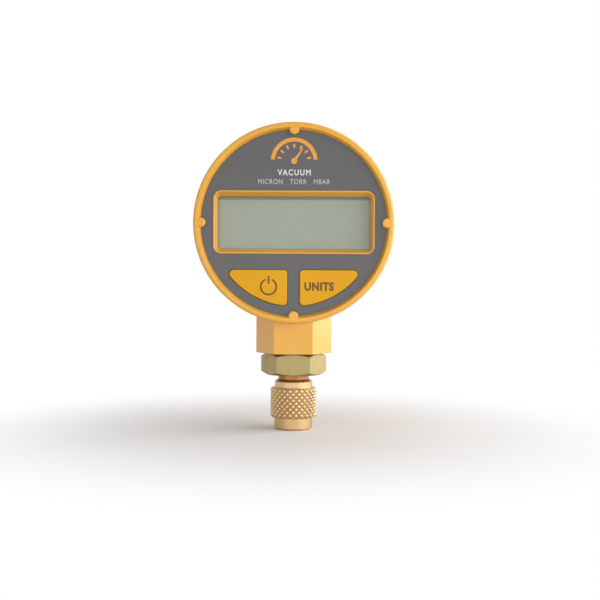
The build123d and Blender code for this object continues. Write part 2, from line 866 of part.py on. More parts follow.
# Brass stem: spigot with its groove, neck, hexagon and hollow shank
with BuildPart() as brass_fitting:
    extrude(hexagon(hex_across, hex_base_z), amount=hex_height)
    envelope = hex_envelope(hex_across, hex_base_z, case_base_z)
    revolve(envelope, axis=Axis.Z, mode=Mode.INTERSECT)
    body = turned(
        (0, spigot_end_z),
        (spigot_r, spigot_end_z),
        (spigot_r, wire_z - groove_r),
        (spigot_r - groove_r, wire_z - groove_r),
        (spigot_r - groove_r, wire_z + groove_r),
        (spigot_r, wire_z + groove_r),
        (spigot_r, neck_base_z),
        (stem_neck_r, neck_base_z),
        (stem_neck_r, (hex_base_z + case_base_z) / 2),
        (shank_r, (hex_base_z + case_base_z) / 2),
        (shank_r, shank_top_z),
        (0, shank_top_z),
    )
    revolve(body, axis=Axis.Z)
    hollow = turned(
        (0, spigot_end_z),
        (bore_r + depressor_wall + running_gap, spigot_end_z),
        (bore_r + depressor_wall + running_gap, spigot_end_z + depressor_depth),
        (bore_r, spigot_end_z + depressor_depth),
        (bore_r, chamber_z - chamber_r + bore_r),
        (chamber_r, chamber_z),
        (chamber_r, shank_top_z),
        (0, shank_top_z),
    )
    revolve(hollow, axis=Axis.Z, mode=Mode.SUBTRACT)
brass_fitting.part.label = "brass_fitting"
export_step(brass_fitting.part, "parts/brass_fitting.step")


# Split washer under the locknut
with BuildPart() as lock_washer:
    with BuildSketch(Plane.XY.offset(boss_top_z)):
        Circle(washer_r)
        Circle(shank_r + slide_gap, mode=Mode.SUBTRACT)
        with Locations((washer_r / 2, 0)):
            Rectangle(washer_r, washer_split, mode=Mode.SUBTRACT)
    extrude(amount=washer_thickness)
lock_washer.part.label = "lock_washer"
export_step(lock_washer.part, "parts/lock_washer.step")


# Locknut that pulls the stem up into the neck
with BuildPart() as locknut:
    extrude(hexagon(locknut_across, washer_top_z), amount=locknut_height)
    envelope = hex_envelope(locknut_across, washer_top_z, locknut_top_z)
    revolve(envelope, axis=Axis.Z, mode=Mode.INTERSECT)
    with Locations((0, 0, locknut_top_z)):
        Hole(shank_r + running_gap, depth=locknut_height)
locknut.part.label = "locknut"
export_step(locknut.part, "parts/locknut.step")


# Swivel nut: two turned collars with the knurled band between them, bored to turn on the spigot
with BuildPart() as swivel_nut:
    add(knurled_slug())
    band = turned(
        (0, lower_collar_length),
        (knurl_r - knurl_chamfer, lower_collar_length),
        (knurl_r, lower_collar_length + knurl_chamfer),
        (knurl_r, knurl_top_z - knurl_chamfer),
        (knurl_r - knurl_chamfer, knurl_top_z),
        (0, knurl_top_z),
    )
    revolve(band, axis=Axis.Z, mode=Mode.INTERSECT)
    collars = turned(
        (0, 0),
        (lower_collar_r - collar_chamfer, 0),
        (lower_collar_r, collar_chamfer),
        (lower_collar_r, lower_collar_length + knurl_depth),
        (upper_collar_r, lower_collar_length + knurl_depth),
        (upper_collar_r, nut_top_z - collar_chamfer / 2),
        (upper_collar_r - collar_chamfer / 2, nut_top_z),
        (0, nut_top_z),
    )
    revolve(collars, axis=Axis.Z)
    hollow = turned(
        (0, 0),
        (thread_wall_r + mouth_chamfer, 0),
        (thread_wall_r, mouth_chamfer),
        (thread_wall_r, thread_depth),
        (thread_wall_r + relief_depth, thread_depth),
        (thread_wall_r + relief_depth, nut_shoulder_z),
        (spigot_r + running_gap, nut_shoulder_z),
        (spigot_r + running_gap, wire_z - groove_r),
        (spigot_r + groove_r, wire_z - groove_r),
        (spigot_r + groove_r, wire_z + groove_r),
        (spigot_r + running_gap, wire_z + groove_r),
        (spigot_r + running_gap, nut_top_z),
        (0, nut_top_z),
    )
    revolve(hollow, axis=Axis.Z, mode=Mode.SUBTRACT)
swivel_nut.part.label = "swivel_nut"
export_step(swivel_nut.part, "parts/swivel_nut.step")


# Open wire ring, half in the spigot's groove and half in the nut's
with BuildPart() as retaining_ring:
    with BuildSketch(Plane.XZ):
        with Locations((spigot_r, wire_z)):
            Circle(groove_wire_r)
    revolve(axis=Axis.Z, revolution_arc=330)
retaining_ring.part.label = "retaining_ring"
export_step(retaining_ring.part, "parts/retaining_ring.step")


# Sealing ring on the stem's end
with BuildPart() as flare_gasket:
    with BuildSketch(Plane.XY.offset(spigot_end_z)):
        Circle(thread_wall_r - slide_gap)
        Circle(gasket_bore_r, mode=Mode.SUBTRACT)
    extrude(amount=-gasket_thickness)
flare_gasket.part.label = "flare_gasket"
export_step(flare_gasket.part, "parts/flare_gasket.step")


# Core depressor: a rim in the bore's mouth, three bars and a pin
depressor_r = bore_r + depressor_wall
with BuildPart() as core_depressor:
    with BuildSketch(Plane.XY.offset(spigot_end_z)):
        Circle(depressor_r)
        Circle(bore_r, mode=Mode.SUBTRACT)
        with PolarLocations(0, 3):
            Rectangle(2 * bore_r + depressor_wall, depressor_spoke)
    extrude(amount=depressor_depth)
    with BuildSketch(Plane.XY.offset(spigot_end_z - depressor_reach)):
        Circle(depressor_pin_r)
    extrude(amount=depressor_reach + depressor_depth)
core_depressor.part.label = "core_depressor"
export_step(core_depressor.part, "parts/core_depressor.step")


# Steel header of the sensor, with a groove for its seal and a hole for each pin
header_top_z = shank_top_z - header_top
header_base_z = header_top_z - header_length
header_r = chamber_r - running_gap
oring_z = (header_base_z + header_top_z) / 2
oring_circle_r = chamber_r - oring_r - running_gap
oring_groove = oring_r + running_gap
with BuildPart() as sensor_header:
    header = turned(
        (0, header_base_z),
        (header_r, header_base_z),
        (header_r, oring_z - oring_groove),
        (oring_circle_r - oring_groove, oring_z - oring_groove),
        (oring_circle_r - oring_groove, oring_z + oring_groove),
        (header_r, oring_z + oring_groove),
        (header_r, header_top_z),
        (0, header_top_z),
    )
    revolve(header, axis=Axis.Z)
    with Locations((0, 0, header_top_z)):
        with PolarLocations(pin_spread_r, pin_count):
            Hole(pin_r + running_gap, depth=header_length)
sensor_header.part.label = "sensor_header"
export_step(sensor_header.part, "parts/sensor_header.step")


# Seal round the header
with BuildPart() as sensor_oring:
    with BuildSketch(Plane.XZ):
        with Locations((oring_circle_r, oring_z)):
            Circle(oring_r)
    revolve(axis=Axis.Z)
sensor_oring.part.label = "sensor_oring"
export_step(sensor_oring.part, "parts/sensor_oring.step")


# Ring that holds the header down, with two slots for a driver
with BuildPart() as sensor_retainer:
    with BuildSketch(Plane.XY.offset(header_top_z)):
        Circle(header_r)
        Circle(header_r - retainer_wall, mode=Mode.SUBTRACT)
    extrude(amount=retainer_length)
    with BuildSketch(Plane.XY.offset(header_top_z + retainer_length)):
        Rectangle(2 * header_r, retainer_slot)
    extrude(amount=-retainer_slot, mode=Mode.SUBTRACT)
sensor_retainer.part.label = "sensor_retainer"
export_step(sensor_retainer.part, "parts/sensor_retainer.step")


# Small round board on top of the stem
with BuildPart() as sensor_adapter:
    with BuildSketch(Plane.XY.offset(shank_top_z)):
        Circle(adapter_r)
        with PolarLocations(pin_spread_r, pin_count):
            Circle(pin_r + running_gap, mode=Mode.SUBTRACT)
    extrude(amount=adapter_thickness)
sensor_adapter.part.label = "sensor_adapter"
export_step(sensor_adapter.part, "parts/sensor_adapter.step")


# Pins through the header and the small board
pin_base_z = header_base_z - pin_below_header
with BuildPart() as sensor_pins:
    with BuildSketch(Plane.XY.offset(pin_base_z)):
        with PolarLocations(pin_spread_r, pin_count):
            Circle(pin_r)
    extrude(amount=adapter_top_z + open_gap - pin_base_z)
sensor_pins.part.label = "sensor_pins"
export_step(sensor_pins.part, "parts/sensor_pins.step")


# Glass bead of the thermistor, slung between two pins
bead_reach = pin_spread_r - pin_r - running_gap
bead_left = Plane(origin=(-bead_reach, 0, pin_base_z + bead_r), x_dir=(0, 1, 0), z_dir=(1, 0, 0))
with BuildPart() as thermistor_bead:
    with BuildSketch(bead_left):
        Circle(bead_r)
    extrude(amount=2 * bead_reach)
    fillet(thermistor_bead.edges().filter_by(GeomType.CIRCLE), bead_r / 2)
thermistor_bead.part.label = "thermistor_bead"
export_step(thermistor_bead.part, "parts/thermistor_bead.step")


# Flat ribbon from the small board up to its plug
ribbon_top_z = adapter_top_z + ribbon_rise
ribbon_straight = ribbon_rise / 4
with BuildPart() as sensor_ribbon:
    with BuildLine() as route:
        FilletPolyline(
            (0, ribbon_back, adapter_top_z),
            (0, ribbon_back, adapter_top_z + ribbon_straight),
            (0, ribbon_y, ribbon_top_z - ribbon_straight),
            (0, ribbon_y, ribbon_top_z),
            radius=ribbon_bend,
        )
    with BuildSketch(Plane.XY.offset(adapter_top_z)):
        with Locations((0, ribbon_back)):
            Rectangle(ribbon_width, ribbon_thickness)
    sweep()
sensor_ribbon.part.label = "sensor_ribbon"
export_step(sensor_ribbon.part, "parts/sensor_ribbon.step")
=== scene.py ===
# %% [markdown]
# # A digital vacuum gauge
#
# A refrigeration engineer screws this gauge to a pump line and reads the vacuum from its
# display. It is a round yellow case with a dark printed face, two keys, a hexagonal neck
# and a brass swivel nut with a knurl.
# The solids of the gauge are already packed as a frame, in metres, with X to the right, Y
# into the face and Z up. This lesson lights them, gives each one its finish, and adds what
# a solid model leaves out: the print, the knurl's worn diamonds and the screw thread.

# %% The frame
import json
import math

import bmesh
import bpy
import numpy as np
from mathutils import Matrix, Vector


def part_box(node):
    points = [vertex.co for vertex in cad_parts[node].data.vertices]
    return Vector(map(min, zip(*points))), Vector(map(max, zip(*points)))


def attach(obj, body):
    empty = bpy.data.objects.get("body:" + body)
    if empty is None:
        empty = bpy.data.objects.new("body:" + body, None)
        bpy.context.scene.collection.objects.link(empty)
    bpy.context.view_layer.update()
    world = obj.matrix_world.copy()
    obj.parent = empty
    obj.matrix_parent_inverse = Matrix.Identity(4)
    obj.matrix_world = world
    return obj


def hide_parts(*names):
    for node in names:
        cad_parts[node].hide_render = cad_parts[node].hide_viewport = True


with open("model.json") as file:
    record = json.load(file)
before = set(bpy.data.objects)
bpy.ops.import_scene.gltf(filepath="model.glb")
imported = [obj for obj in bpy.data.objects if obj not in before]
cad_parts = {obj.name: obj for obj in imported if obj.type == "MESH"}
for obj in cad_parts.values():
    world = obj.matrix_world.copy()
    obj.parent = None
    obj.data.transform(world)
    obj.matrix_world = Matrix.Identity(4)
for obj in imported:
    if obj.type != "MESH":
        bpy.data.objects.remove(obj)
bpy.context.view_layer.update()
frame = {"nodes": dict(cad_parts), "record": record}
MM = 0.001
nodes = frame["nodes"]
scene = bpy.context.scene
scene.view_settings.view_transform = "Standard"

# %% Where things are on the face
face_low, face_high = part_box("face_overlay")
FACE_X = (face_low[0] + face_high[0]) / 2 / MM
FACE_Z = (face_low[2] + face_high[2]) / 2 / MM
SHEET_Y = face_low[1] / MM
KEY_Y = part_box("power_key")[0][1] / MM
print("face centre", round(FACE_Z, 2), "sheet", round(SHEET_Y, 2), "keys", round(KEY_Y, 2), "mm")

# %% [markdown]
# ## The camera
#
# A picture taken from near shows an object's near parts larger against its far ones than
# one from far, so the camera's place comes before its lens. The sizes of the ring, the
# display's rim and the nut against each other place it 34 centimetres in front of the
# ring, a shade to the right and almost three centimetres below the ring's centre. The lens
# then follows from how large the ring is in the picture, and a third of a degree of roll
# stands for the gauge's slight lean in it.

# %% Camera
LENS = 54.2
ROLL = -0.35
STAND = Vector((6.4, -356.0, 52.3)) * MM
AIM = Vector((2.54, -16.0, 50.67)) * MM

camera = bpy.data.objects.new("camera", bpy.data.cameras.new("camera"))
scene.collection.objects.link(camera)
camera.data.lens = LENS
camera.data.sensor_width = 36.0
camera.data.clip_start = 0.01
camera.location = STAND
look = AIM - STAND
roll = Matrix.Rotation(math.radians(ROLL), 4, look)
camera.rotation_euler = (roll @ look.to_track_quat("-Z", "Y").to_matrix().to_4x4()).to_euler()
scene.camera = camera
print("camera", round(look.length / MM), "mm from the point it looks at")

# %% [markdown]
# ## Shader maths
#
# A finish is a small sum: so much of one colour, less where the noise is high, a little
# more near an edge. It could be wired by hand in the shader editor, where such a sum is
# hard to read. A class that wraps one output socket and overloads the arithmetic signs
# lets the sum be written as it is said, and each sign adds its Math node.


# %% Fields
class Field:
    """A value that varies over a surface: one output socket with Python's arithmetic."""

    def __init__(self, graph, socket):
        self.graph = graph
        self.socket = socket

    def __add__(self, other):
        return self.graph.sum("ADD", self, other)

    def __radd__(self, other):
        return self.graph.sum("ADD", other, self)

    def __sub__(self, other):
        return self.graph.sum("SUBTRACT", self, other)

    def __rsub__(self, other):
        return self.graph.sum("SUBTRACT", other, self)

    def __mul__(self, other):
        return self.graph.sum("MULTIPLY", self, other)

    def __rmul__(self, other):
        return self.graph.sum("MULTIPLY", other, self)

    def __pow__(self, other):
        return self.graph.sum("POWER", self, other)

    def __rpow__(self, other):
        return self.graph.sum("POWER", other, self)


print("signs that work from both sides", [name for name in vars(Field) if "__r" in name])


# %% Nodes
class Graph:
    """The nodes of one material, or of the world's light."""

    def __init__(self, tree):
        self.tree = tree

    def node(self, kind, settings=None, sockets=None, output=0):
        """Any node: its settings first, then a value or a link for each named socket."""
        made = self.tree.nodes.new(kind)
        for name, value in (settings or {}).items():
            setattr(made, name, value)
        for name, value in (sockets or {}).items():
            self.feed(made.inputs[name], value)
        return Field(self, made.outputs[output])

    def feed(self, socket, value):
        """Links a field to a socket, or writes a plain value on it."""
        if isinstance(value, Field):
            self.tree.links.new(value.socket, socket)
        else:
            socket.default_value = value

    def sum(self, operation, first, second):
        """One Math node."""
        return self.node("ShaderNodeMath", {"operation": operation}, {0: first, 1: second})

    def greater(self, first, second):
        """The larger of two fields."""
        return self.sum("MAXIMUM", first, second)

    def lesser(self, first, second):
        """The smaller of two fields."""
        return self.sum("MINIMUM", first, second)

    def step(self, field, low, high):
        """0 below low, 1 above high, and a smooth rise between them."""
        return self.node(
            "ShaderNodeMapRange",
            {"interpolation_type": "SMOOTHSTEP"},
            {"Value": field, "From Min": low, "From Max": high},
        )

    def between(self, field, low, high, soft):
        """1 from low to high and 0 outside, with a smooth rise and fall 2 * soft wide."""
        rise = self.step(field, low - soft, low + soft)
        return rise * (1 - self.step(field, high - soft, high + soft))

    def mix(self, first, second, factor):
        """The first colour where the factor is 0, the second where it is 1."""
        sockets = {0: factor, 6: first, 7: second}
        return self.node("ShaderNodeMix", {"data_type": "RGBA"}, sockets, output=2)

    def place(self, stretch=(1.0, 1.0, 1.0)):
        """The object's own coordinates in metres, stretched."""
        here = self.node("ShaderNodeTexCoord", output="Object")
        sockets = {"Vector": here, "Scale": stretch}
        return self.node("ShaderNodeMapping", {"vector_type": "POINT"}, sockets)

    def axes(self):
        """The three object coordinates as separate fields, in millimetres."""
        here = self.place((1 / MM, 1 / MM, 1 / MM))
        return [
            self.node("ShaderNodeSeparateXYZ", {}, {0: here}, output=axis) for axis in range(3)
        ]

    def noise(self, size, detail, roughness, stretch=(1.0, 1.0, 1.0)):
        """Soft random spots about size millimetres across, from 0 to 1.

        A stretch below 1 along an axis draws the spots out along it.
        """
        sockets = {"Scale": 1 / (size * MM), "Detail": detail, "Roughness": roughness}
        sockets["Vector"] = self.place(stretch)
        return self.node("ShaderNodeTexNoise", {"noise_dimensions": "3D"}, sockets)

    def bump(self, height, depth, strength, normal=None):
        """A normal tilted by a height field, whose full range stands for depth millimetres."""
        sockets = {"Height": height, "Distance": depth * MM, "Strength": strength}
        if normal is not None:
            sockets["Normal"] = normal
        return self.node("ShaderNodeBump", {}, sockets)

    def soft_edges(self, radius):
        """A normal that rounds every edge of the solid by radius millimetres."""
        return self.node("ShaderNodeBevel", {"samples": 4}, {"Radius": radius * MM})

    def edge_mask(self, rounded):
        """1 on an edge and 0 on a flat: how far the rounded normal leans from the true one."""
        true = self.node("ShaderNodeNewGeometry", output="True Normal")
        dot = {"operation": "DOT_PRODUCT"}
        same = self.node("ShaderNodeVectorMath", dot, {0: rounded, 1: true}, output=1)
        return self.step(1 - same, 0.01, 0.25)


print("a graph can", [name for name in vars(Graph) if not name.startswith("_")])


# %% Colours and finishes
def colour(red, green, blue):
    """A colour read from a screen, 0 to 255, as the linear light that a shader wants."""
    encoded = np.array((red, green, blue)) / 255
    linear = np.where(encoded < 0.04045, encoded / 12.92, ((encoded + 0.055) / 1.055) ** 2.4)
    return (*linear.tolist(), 1.0)


class Finish(Graph):
    """A material: a Graph with a Principled shader, whose constants are set directly."""

    def __init__(self, name, **constants):
        self.material = bpy.data.materials.new(name)
        self.material.use_nodes = True
        super().__init__(self.material.node_tree)
        self.shader = self.tree.nodes["Principled BSDF"]
        for socket, value in constants.items():
            self.shader.inputs[socket.replace("_", " ")].default_value = value

    def paint(self, **fields):
        """Feeds fields to the shader's sockets, named with _ for a space."""
        for socket, field in fields.items():
            self.feed(self.shader.inputs[socket.replace("_", " ")], field)
        return self.material

    def blend_with(self, other, factor):
        """Shows this finish where the factor is 0, and the other shader where it is 1."""
        own = Field(self, self.shader.outputs[0])
        surface = self.node("ShaderNodeMixShader", {}, {0: factor, 1: own, 2: other})
        self.feed(self.tree.nodes["Material Output"].inputs["Surface"], surface)


print("yellow in linear light", [round(v, 3) for v in colour(236, 173, 52)])

# %% [markdown]
# ## Light and floor
#
# The gauge is lit as by a wide window on the right, which reaches from well in front of it
# to well behind it. Round brass mirrors such a window as a broad pale stripe, and a flat
# that leans towards it comes out bright. A sun lamp would give hard shadows instead. A long
# low strip in front, behind the camera and about level with it, fills the face. It stands
# low because the flat display mirrors what is higher up, and would show it. A quiet sky
# does the rest, at a level at which a colour comes out about as it is written.
#
# The floor is pale and fades to plain white, so that no horizon cuts the picture. Only the
# camera, and surfaces that mirror or pass what is behind them, see that white.


# %% Lamps
def soft_lamp(name, centre, target, width, height, radiance):
    """An area lamp that faces its target, with its power worked out from how bright it looks."""
    lamp = bpy.data.lights.new(name, "AREA")
    lamp.shape = "RECTANGLE"
    lamp.size = width
    lamp.size_y = height
    lamp.energy = radiance * math.pi * width * height
    made = bpy.data.objects.new(name, lamp)
    made.location = centre
    made.rotation_euler = (Vector(target) - Vector(centre)).to_track_quat("-Z", "Y").to_euler()
    scene.collection.objects.link(made)


soft_lamp("window", (0.61, -0.10, 0.23), (0.0, 0.0, 0.14), 1.33, 0.44, 3.5)
soft_lamp("front", (-0.1, -0.62, 0.055), (0.0, 0.0, 0.09), 1.1, 0.09, 2.3)
print("lamps in watts", {lamp.name: round(lamp.energy, 2) for lamp in bpy.data.lights})

# %% World
WHITE = (1.0, 1.0, 1.0, 1.0)
SKY_LIGHT = 0.45


def seen_directly(graph):
    """1 for a ray from the camera, or one that a mirror or glass sends on, and 0 for light."""
    rays = [
        graph.node("ShaderNodeLightPath", output=name)
        for name in ("Is Camera Ray", "Is Glossy Ray", "Is Transmission Ray")
    ]
    return graph.greater(graph.greater(rays[0], rays[1]), rays[2])


world = bpy.data.worlds.new("world")
world.use_nodes = True
scene.world = world
sky = Graph(world.node_tree)
background = world.node_tree.nodes["Background"]
sky.feed(background.inputs["Color"], WHITE)
sky.feed(background.inputs["Strength"], SKY_LIGHT + (1 - SKY_LIGHT) * seen_directly(sky))
print("sky at", SKY_LIGHT, "for light and 1 for the camera")

# %% Floor
FLOOR_REACH = 6000.0
FADE_FROM = 20.0
FADE_TO = 150.0

corners = np.array([(-1, -1, 0), (1, -1, 0), (1, 1, 0), (-1, 1, 0)]) * FLOOR_REACH * MM
floor_mesh = bpy.data.meshes.new("floor")
floor_mesh.from_pydata(corners.tolist(), [], [(0, 1, 2, 3)])
floor = bpy.data.objects.new("floor", floor_mesh)
scene.collection.objects.link(floor)
pale = (0.90, 0.90, 0.89, 1.0)
paper = Finish("pale_floor", Roughness=0.9, Specular_IOR_Level=0.1, Base_Color=pale)
plain = paper.node("ShaderNodeEmission", {}, {"Color": WHITE, "Strength": 1.0})
across, along, _ = paper.axes()
away = (across * across + along * along) ** 0.5
paper.blend_with(plain, paper.step(away, FADE_FROM, FADE_TO) * seen_directly(paper))
floor_mesh.materials.append(paper.material)
print("floor turns white", FADE_TO, "mm from the gauge's axis")

# %% [markdown]
# ## Moulded plastic
#
# The case is a glass-filled plastic, yellow right through, from a steel mould that was
# spark-finished. Such a surface has a very fine grain, a colour that wanders a little where
# the melt flowed, and edges that the mould leaves round by a few tenths of a millimetre.
# A Bevel modifier could round them, but the solid's mesh stays as it is, so the normal is
# rounded in the shader. The same rounding says where the edges are. They are painted
# paler as a painted highlight and left a little less rough.


# %% Plastic
def moulded(name, main, second, rough=0.34, coat=0.4, edge=0.3, shine=0.5):
    """Plastic: two near colours by slow noise, fine grain in the normal, rounded edges painted
    paler as a painted highlight.
    """
    finish = Finish(name, Coat_Weight=coat, Coat_Roughness=0.18, Specular_IOR_Level=shine)
    flow = finish.noise(22.0, 2.0, 0.45)
    grain = finish.noise(0.35, 2.0, 0.6)
    rounded = finish.soft_edges(edge)
    rounded_edge = finish.edge_mask(rounded)
    body = finish.mix(main, second, finish.step(flow, 0.3, 0.7))
    # painted highlight: the rounded edges are painted paler than the body colour
    painted_edge_highlight = tuple(min(1.0, v * 1.18 + 0.02) for v in main[:3]) + (1.0,)
    return finish.paint(
        Base_Color=finish.mix(body, painted_edge_highlight, rounded_edge * 0.45),
        Roughness=rough + 0.10 * (flow - 0.5) + 0.12 * (grain - 0.5) - 0.06 * rounded_edge,
        Normal=finish.bump(grain, 0.012, 0.5, rounded),
    )


case_yellow = moulded("case_yellow", colour(236, 173, 52), colour(230, 166, 45))
key_yellow = moulded(
    "key_yellow",
    colour(230, 167, 8),
    colour(225, 160, 4),
    rough=0.46,
    coat=0.0,
    edge=0.2,
    shine=0.3,
)
print("plastics", case_yellow.name, key_yellow.name)

# %% [markdown]
# ## The printed face
#
# The grey face is a sheet of polycarbonate, printed on its back and textured on its front
# like fine leather, so that it doesn't glare. A reader sees one dark grey, but the texture
# breaks its shine into a soft veil. Modelling a grain that fine would take millions of
# faces, so a fine noise in the normal does it. The grey itself is kept in a narrow band,
# as ink is, with a few paler specks of dust.


# %% Face sheet
def textured_sheet():
    """Ink under satin polycarbonate: a fine leather texture over a nearly even grey."""
    finish = Finish("face_grey", Coat_Weight=0.2, Coat_Roughness=0.35, IOR=1.58)
    leather = finish.noise(0.16, 2.0, 0.55)
    cloud = finish.noise(14.0, 2.0, 0.5)
    dust = finish.step(finish.noise(0.9, 4.0, 0.7), 0.72, 0.80)
    grey = finish.mix(colour(77, 75, 77), colour(84, 82, 84), cloud)
    return finish.paint(
        Base_Color=finish.mix(grey, colour(150, 148, 148), dust * 0.25),
        Roughness=0.40 + 0.10 * (cloud - 0.5) + 0.10 * dust,
        Normal=finish.bump(leather, 0.010, 0.5),
    )


face_grey = textured_sheet()
print("face sheet", face_grey.name)

# %% [markdown]
# ## The display
#
# Behind a clear window lies the liquid crystal cell: two sheets of glass with a film on
# each, over a pale reflector. Switched off it is an even grey-green. On it are painted a
# shadow along its top, where the rim's top wall shades it, a warm reflection of the yellow
# rim walls near its edges, and a barely darker strip of painted shade at its right. These
# could be drawn as an image, but each keeps a distance from the panel's edges, so the
# distance makes them.
#
# The window is flat clear plastic. Light from a lamp wouldn't pass it in a path tracer, so
# for shadow rays it is plainly transparent.

# %% Display glass
panel_low, panel_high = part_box("lcd_panel")


def liquid_crystal():
    """Grey-green film by slow noise: the distance to the nearest edge gives a painted reflection
    of the rim walls.
    """
    finish = Finish("lcd_glass", Coat_Weight=0.6, Coat_Roughness=0.08)
    across, _, up = finish.axes()
    half_width = (panel_high[0] - panel_low[0]) / 2 / MM
    half_height = (panel_high[2] - panel_low[2]) / 2 / MM
    rise = up - (panel_high[2] + panel_low[2]) / 2 / MM
    from_side = half_width - finish.sum("ABSOLUTE", across, 0.0)
    from_end = half_height - finish.sum("ABSOLUTE", rise, 0.0)
    # painted reflection of the yellow rim walls: a warm tint near the display's edges
    rim_wall_reflection = 1 - finish.step(finish.lesser(from_side, from_end), 0.9, 2.6)
    # painted shadow of the rim's top wall: a dark band along the display's top
    painted_top_shadow = finish.step(rise, half_height - 2.9, half_height - 2.4)
    # painted shade of the rim's right wall: a strip at the display's right, slightly darkened
    shade = finish.step(across, half_width - 4.9, half_width - 4.3)
    cloud = finish.noise(16.0, 2.0, 0.4)
    fine = finish.noise(0.35, 2.0, 0.5)
    film = finish.mix(colour(142, 151, 134), colour(148, 157, 140), cloud)
    film = finish.mix(film, colour(132, 137, 124), shade * 0.05)
    film = finish.mix(film, colour(150, 134, 84), rim_wall_reflection * 0.5)
    film = finish.mix(film, colour(88, 84, 68), painted_top_shadow * 0.85)
    return finish.paint(
        Base_Color=film,
        Roughness=0.34 + 0.06 * fine,
        Normal=finish.bump(fine, 0.004, 0.3),
    )


lcd_glass = liquid_crystal()
print("display glass", [round((panel_high[axis] - panel_low[axis]) / MM, 1) for axis in range(3)])


# %% Clear window
def clear_pane():
    """Clear plastic, transparent to shadow rays so that the lamps reach what is behind it."""
    tint = (0.98, 0.99, 0.98, 1.0)
    finish = Finish("clear_window", Transmission_Weight=1.0, IOR=1.49, Base_Color=tint)
    haze = finish.noise(9.0, 3.0, 0.6)
    shadow = finish.node("ShaderNodeLightPath", output="Is Shadow Ray")
    diffuse = finish.node("ShaderNodeLightPath", output="Is Diffuse Ray")
    open_air = finish.node("ShaderNodeBsdfTransparent", {}, {"Color": (0.97, 0.98, 0.97, 1.0)})
    finish.blend_with(open_air, finish.greater(shadow, diffuse))
    return finish.paint(Roughness=0.02 + 0.05 * finish.step(haze, 0.5, 0.8))


clear_window = clear_pane()
print("window", clear_window.name)

# %% [markdown]
# ## Brass
#
# The stem is cut from drawn hexagonal bar, so its flats keep the bar's skin: olive, a
# little mottled, with fine lines along the bar. What the lathe cut is pinker and brighter,
# with rings round the axis, and the groove under the hexagon has painted shade, a darker
# brown. On the nut the knurl's roots carry painted shade and its crests a painted highlight.
# Such marks could be painted on an image. Here the height along the axis says which skin a
# point has, and the distance from the axis tells a root from a crest, so the marks stay
# sharp from near.

# %% Sizes of the brass pieces
HEX_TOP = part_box("front_housing")[0][2] / MM
HEX_HEIGHT = 8.5
HEX_BASE = HEX_TOP - HEX_HEIGHT
KNURL_LOW = 4.7
KNURL_HIGH = 16.4
KNURL_R = 9.0
GROOVE = 0.5
ROOT_R = KNURL_R - GROOVE + 0.02
CREST_R = KNURL_R - 0.2
print("hexagon from", round(HEX_BASE, 1), "to", round(HEX_TOP, 1), "mm")


# %% Brass skins
def turned_brass(name, main, second, drawn_flats=False, knurl_shade_and_highlight=False):
    """Metal with lathe rings, by noise drawn out round the axis.

    Drawn flats keep the bar's skin on the hexagon's height, and painted shade in the groove below
    it.
    A knurl gets painted shade below the root's radius and a painted highlight above the crest's.
    """
    finish = Finish(name, Metallic=1.0)
    across, depth, up = finish.axes()
    rings = finish.noise(0.5, 2.0, 0.6, (0.02, 0.02, 3.0))
    stain = finish.noise(5.0, 4.0, 0.6)
    skin = finish.mix(main, second, stain)
    rough = 0.27 + 0.08 * rings + 0.10 * stain
    height = rings
    if drawn_flats:
        drawn = finish.between(up, HEX_BASE, HEX_TOP, 0.05)
        spots = finish.noise(0.7, 3.0, 0.6)
        streaks = finish.noise(0.35, 3.0, 0.6, (1.0, 1.0, 0.12))
        olive = finish.mix(colour(176, 158, 110), colour(160, 146, 104), spots)
        blotch = drawn * finish.step(stain, 0.55, 0.75)
        groove = 1 - finish.step(up, HEX_BASE - 0.3, HEX_BASE + 0.1)
        # painted shade: the groove under the hexagon is darkened to brown
        groove_shade = groove * (0.45 + 0.5 * finish.step(stain, 0.4, 0.6))
        skin = finish.mix(skin, olive, drawn)
        skin = finish.mix(skin, colour(128, 112, 74), blotch * 0.5)
        skin = finish.mix(skin, colour(142, 92, 52), groove_shade)
        rough = rough + drawn * (0.10 + 0.14 * spots)
        height = height * (1 - drawn) + drawn * (0.6 * streaks + 0.6 * spots)
    if knurl_shade_and_highlight:
        out = (across * across + depth * depth) ** 0.5
        rolled = finish.between(up, KNURL_LOW + 0.15, KNURL_HIGH - 0.15, 0.05)
        root = rolled * (1 - finish.step(out, ROOT_R, CREST_R))
        crest = rolled * finish.step(out, CREST_R - 0.08, CREST_R)
        # painted shade in the knurl's roots and a painted highlight on its crests
        skin = finish.mix(skin, colour(138, 102, 64), root * 0.7)
        skin = finish.mix(skin, colour(222, 188, 146), crest * 0.5)
        rough = rough + 0.16 * root - 0.06 * crest
    return finish.paint(
        Base_Color=skin,
        Roughness=finish.greater(rough, 0.12),
        Normal=finish.bump(height, 0.006, 0.5, finish.soft_edges(0.15)),
    )


nut_pair = colour(212, 180, 134), colour(200, 168, 124)
stem_pair = colour(212, 160, 104), colour(198, 146, 92)
plain_pair = colour(206, 160, 98), colour(192, 148, 90)
nut_brass = turned_brass("nut_brass", *nut_pair, knurl_shade_and_highlight=True)
stem_brass = turned_brass("stem_brass", *stem_pair, drawn_flats=True)
plain_brass = turned_brass("plain_brass", *plain_pair)
print("brass", nut_brass.name, stem_brass.name, plain_brass.name)

# %% [markdown]
# ## Finishes inside the case
#
# Nobody sees the board and the battery until the cover comes off, but a shelf part is
# taken apart, so each piece in there has its own finish too. They could have a function
# each, but plastic, rubber, foam and drawn metal differ only in their two colours, the
# size and depth of their spots, their roughness, and whether they are metal. One function
# and a table make those. The striped strips and the green board have a function each.


